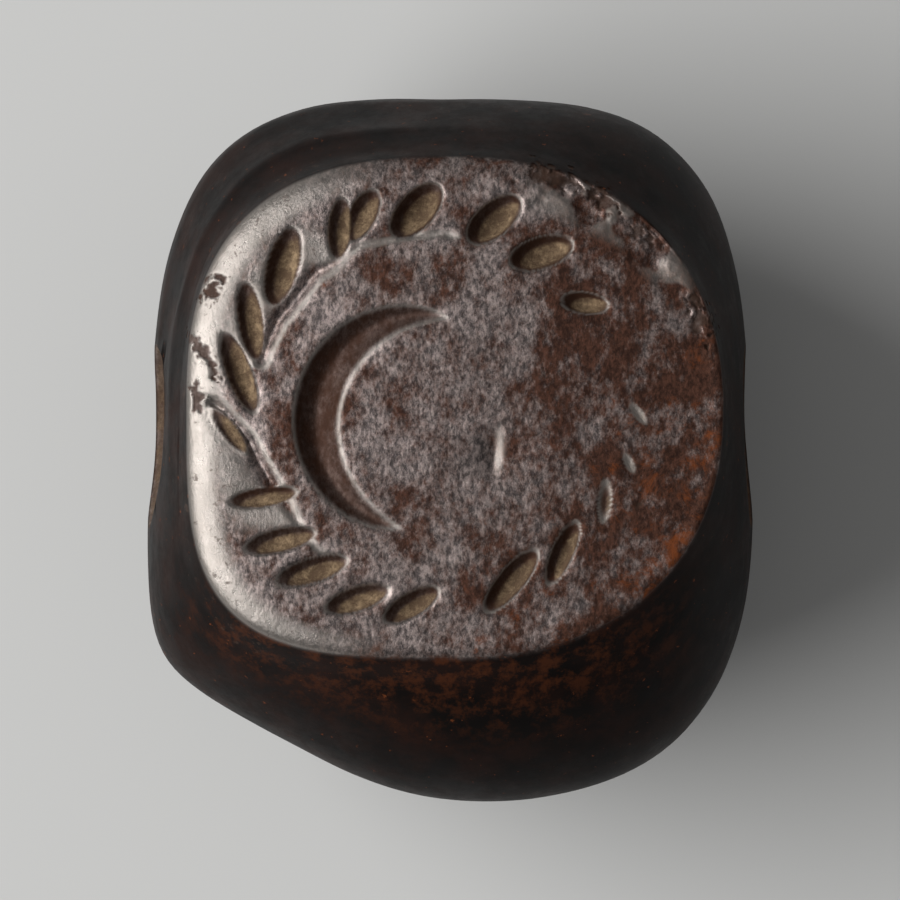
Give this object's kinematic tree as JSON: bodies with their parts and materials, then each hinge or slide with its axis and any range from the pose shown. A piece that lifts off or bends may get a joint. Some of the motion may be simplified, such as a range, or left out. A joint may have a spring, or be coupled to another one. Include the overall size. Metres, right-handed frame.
{
  "type": "stamp seal",
  "caption": "Ellipsoid stamp seal cut from one dark polished stone, with a crescent inside a leaf wreath sunk into its sealing face and a cord hole drilled through its flanks.",
  "frame": {"origin": "middle of the small worn spot under the rounded back, on which the seal stands with its face up", "axes": "looking at the sealing face +X is right and +Y is up, and +Z comes out of the face; the cord hole runs along X"},
  "size_m": [0.0146, 0.017, 0.0124],
  "materials": {
    "polished_hematite": "polished dark red-brown iron ore with a grey half-metallic sheen, worn and mottled"
  },
  "bodies": {
    "root": {"seal_stone": "polished_hematite"}
  },
  "joints": []
}
